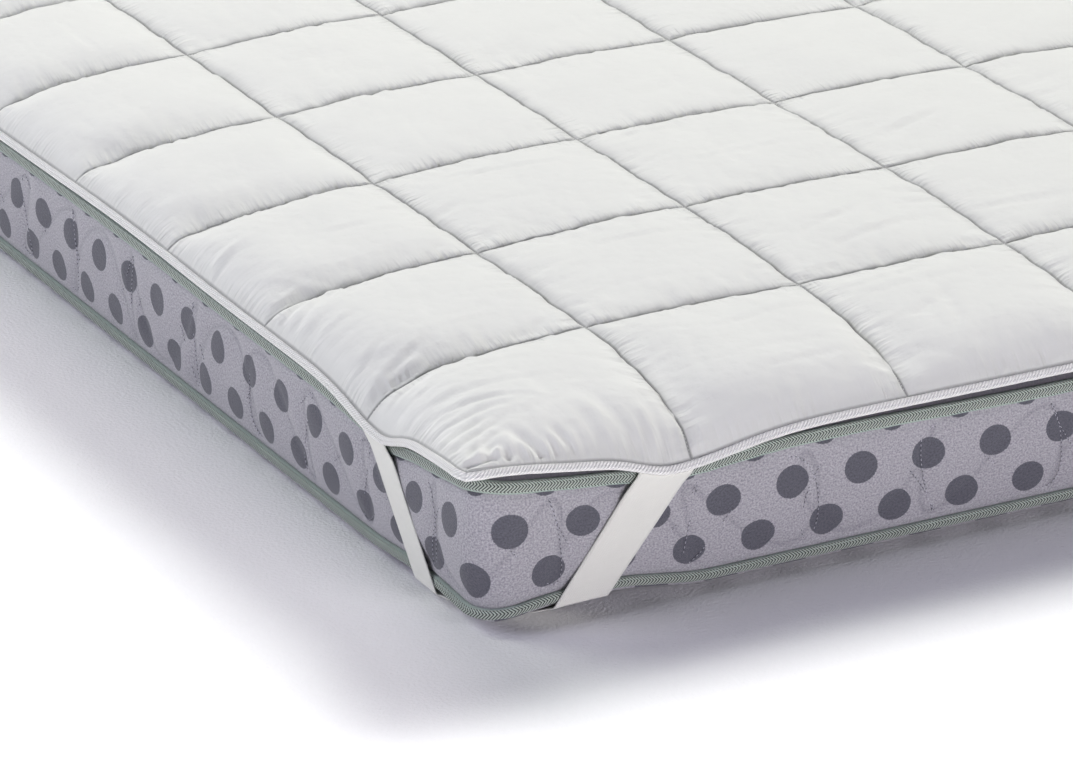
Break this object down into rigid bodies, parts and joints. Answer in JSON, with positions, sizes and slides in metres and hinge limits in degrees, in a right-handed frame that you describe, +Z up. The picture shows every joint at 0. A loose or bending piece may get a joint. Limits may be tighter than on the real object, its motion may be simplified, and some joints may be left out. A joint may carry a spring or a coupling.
{
  "type": "mattress topper on a mattress",
  "caption": "Square-quilted mattress topper with a bound edge, held over a mattress by a slanted elastic strap under each corner.",
  "frame": {"origin": "on the floor, under the middle of the mattress, at the middle of the bottom of the bounding box", "axes": "+Z up, +Y along the length of the bed, +X across its width; the corner that the picture shows is at -X, -Y"},
  "size_m": [1.5506, 2.0294, 0.2175],
  "materials": {
    "quilt_cotton": "fine plain-woven cotton, matt, quilted",
    "binding_tape": "ribbed woven tape, matt",
    "strap_elastic": "finely ribbed woven elastic",
    "bed_knit": "quilted knit with a pattern of plain round dots",
    "bed_tape": "herringbone woven tape"
  },
  "bodies": {
    "root": {"topper_pad": "quilt_cotton", "edge_binding": "binding_tape", "strap_front_left": "strap_elastic", "strap_front_right": "strap_elastic", "strap_back_left": "strap_elastic", "strap_back_right": "strap_elastic", "mattress_body": "bed_knit", "mattress_tape_top": "bed_tape", "mattress_tape_low": "bed_tape"}
  },
  "joints": []
}
